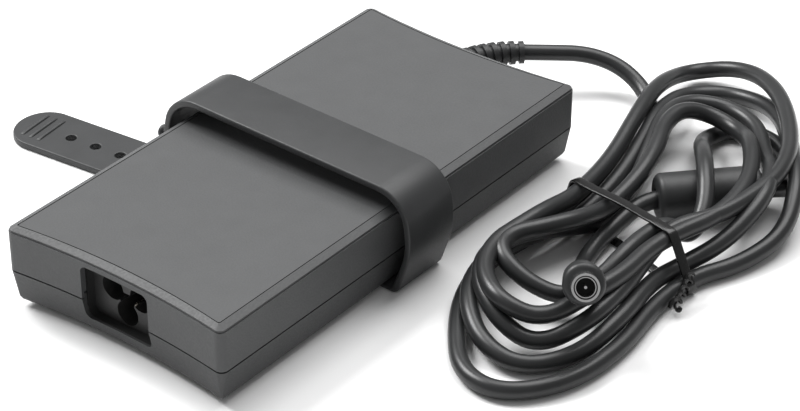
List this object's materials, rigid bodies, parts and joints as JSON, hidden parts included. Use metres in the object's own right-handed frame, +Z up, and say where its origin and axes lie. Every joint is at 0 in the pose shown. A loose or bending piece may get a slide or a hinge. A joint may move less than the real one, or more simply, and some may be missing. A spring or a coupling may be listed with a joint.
{
  "type": "laptop power adapter",
  "caption": "Flat external laptop power supply with a three-pole mains inlet, a rubber strap round the case and a wound low-voltage cord with a barrel plug.",
  "frame": {"origin": "on the resting plane under the middle of the case, on the strap's flat underside", "axes": "+Z up; +Y along the case from the mains inlet to the low-voltage cord; the strap's tail points towards -X"},
  "size_m": [0.2153, 0.2172, 0.0333],
  "materials": {
    "case_top": "fine matt spark texture, dark charcoal",
    "case_base": "fine matt texture, near black",
    "rubber_foot": "soft matt rubber",
    "inlet_plastic": "moulded plastic, slight sheen",
    "pin_metal": "nickel-plated brass",
    "board": "green solder mask",
    "sheet_plastic": "thin translucent sheet",
    "component_black": "moulded epoxy",
    "component_yellow": "glossy box capacitor",
    "component_blue": "dipped ceramic",
    "ferrite": "sintered ferrite",
    "copper": "enamelled copper wire",
    "winding_tape": "polyester tape",
    "bobbin_plastic": "phenolic bobbin",
    "capacitor_sleeve": "shrink sleeve",
    "heat_sink_metal": "bare aluminium",
    "wire_insulation": "insulated wire",
    "cord_sheath": "satin flexible sheath",
    "relief_rubber": "moulded flexible grommet",
    "tie_plastic": "glossy plastic strip",
    "ferrite_plastic": "moulded cover",
    "plug_plastic": "moulded grip",
    "plug_metal": "bright plated metal",
    "plug_insulation": "black insulator",
    "strap_rubber": "matt silicone rubber with a soft sheen"
  },
  "bodies": {
    "case": {"top_cover": "case_top", "bottom_cover": "case_base", "feet": "rubber_foot", "inlet_housing": "inlet_plastic", "line_pin": "pin_metal", "neutral_pin": "pin_metal", "earth_pin": "pin_metal", "circuit_board": "board", "insulation_sheet": "sheet_plastic", "input_fuse": "component_black", "bridge_rectifier": "component_black", "switching_transistor": "component_black", "output_rectifier": "component_black", "controller_chip": "component_black", "optocoupler": "component_black", "mains_filter_capacitor": "component_yellow", "safety_capacitor": "component_blue", "filter_choke_core": "ferrite", "transformer_core": "ferrite", "output_choke_core": "ferrite", "ferrite_core": "ferrite", "filter_choke_winding": "copper", "output_choke_winding": "copper", "transformer_winding": "winding_tape", "transformer_bobbin": "bobbin_plastic", "reservoir_capacitor": "capacitor_sleeve", "output_capacitors": "capacitor_sleeve", "primary_heat_sink": "heat_sink_metal", "secondary_heat_sink": "heat_sink_metal", "output_leads": "wire_insulation", "cord_lead": "cord_sheath", "cord_hank": "cord_sheath", "cord_end": "cord_sheath", "strain_relief": "relief_rubber", "twist_tie": "tie_plastic", "ferrite_cover": "ferrite_plastic", "plug_body": "plug_plastic", "plug_barrel": "plug_metal", "plug_inner_contact": "plug_metal", "plug_centre_pin": "plug_metal", "plug_insulator": "plug_insulation", "plug_core": "plug_insulation"},
    "strap": {"strap_loop": "strap_rubber"},
    "tail": {"strap_tail": "strap_rubber"}
  },
  "joints": [
    {"name": "strap_slide", "type": "slide", "parent": "case", "child": "strap", "axis": [0, 1, 0], "range_m": [-0.05, 0.04]},
    {"name": "tail_fold", "type": "hinge", "parent": "strap", "child": "tail", "pos_m": [-0.0507, -0.00471, 0.002], "axis": [-0.108, 0.9942, 0], "range_deg": [0, 90]}
  ]
}
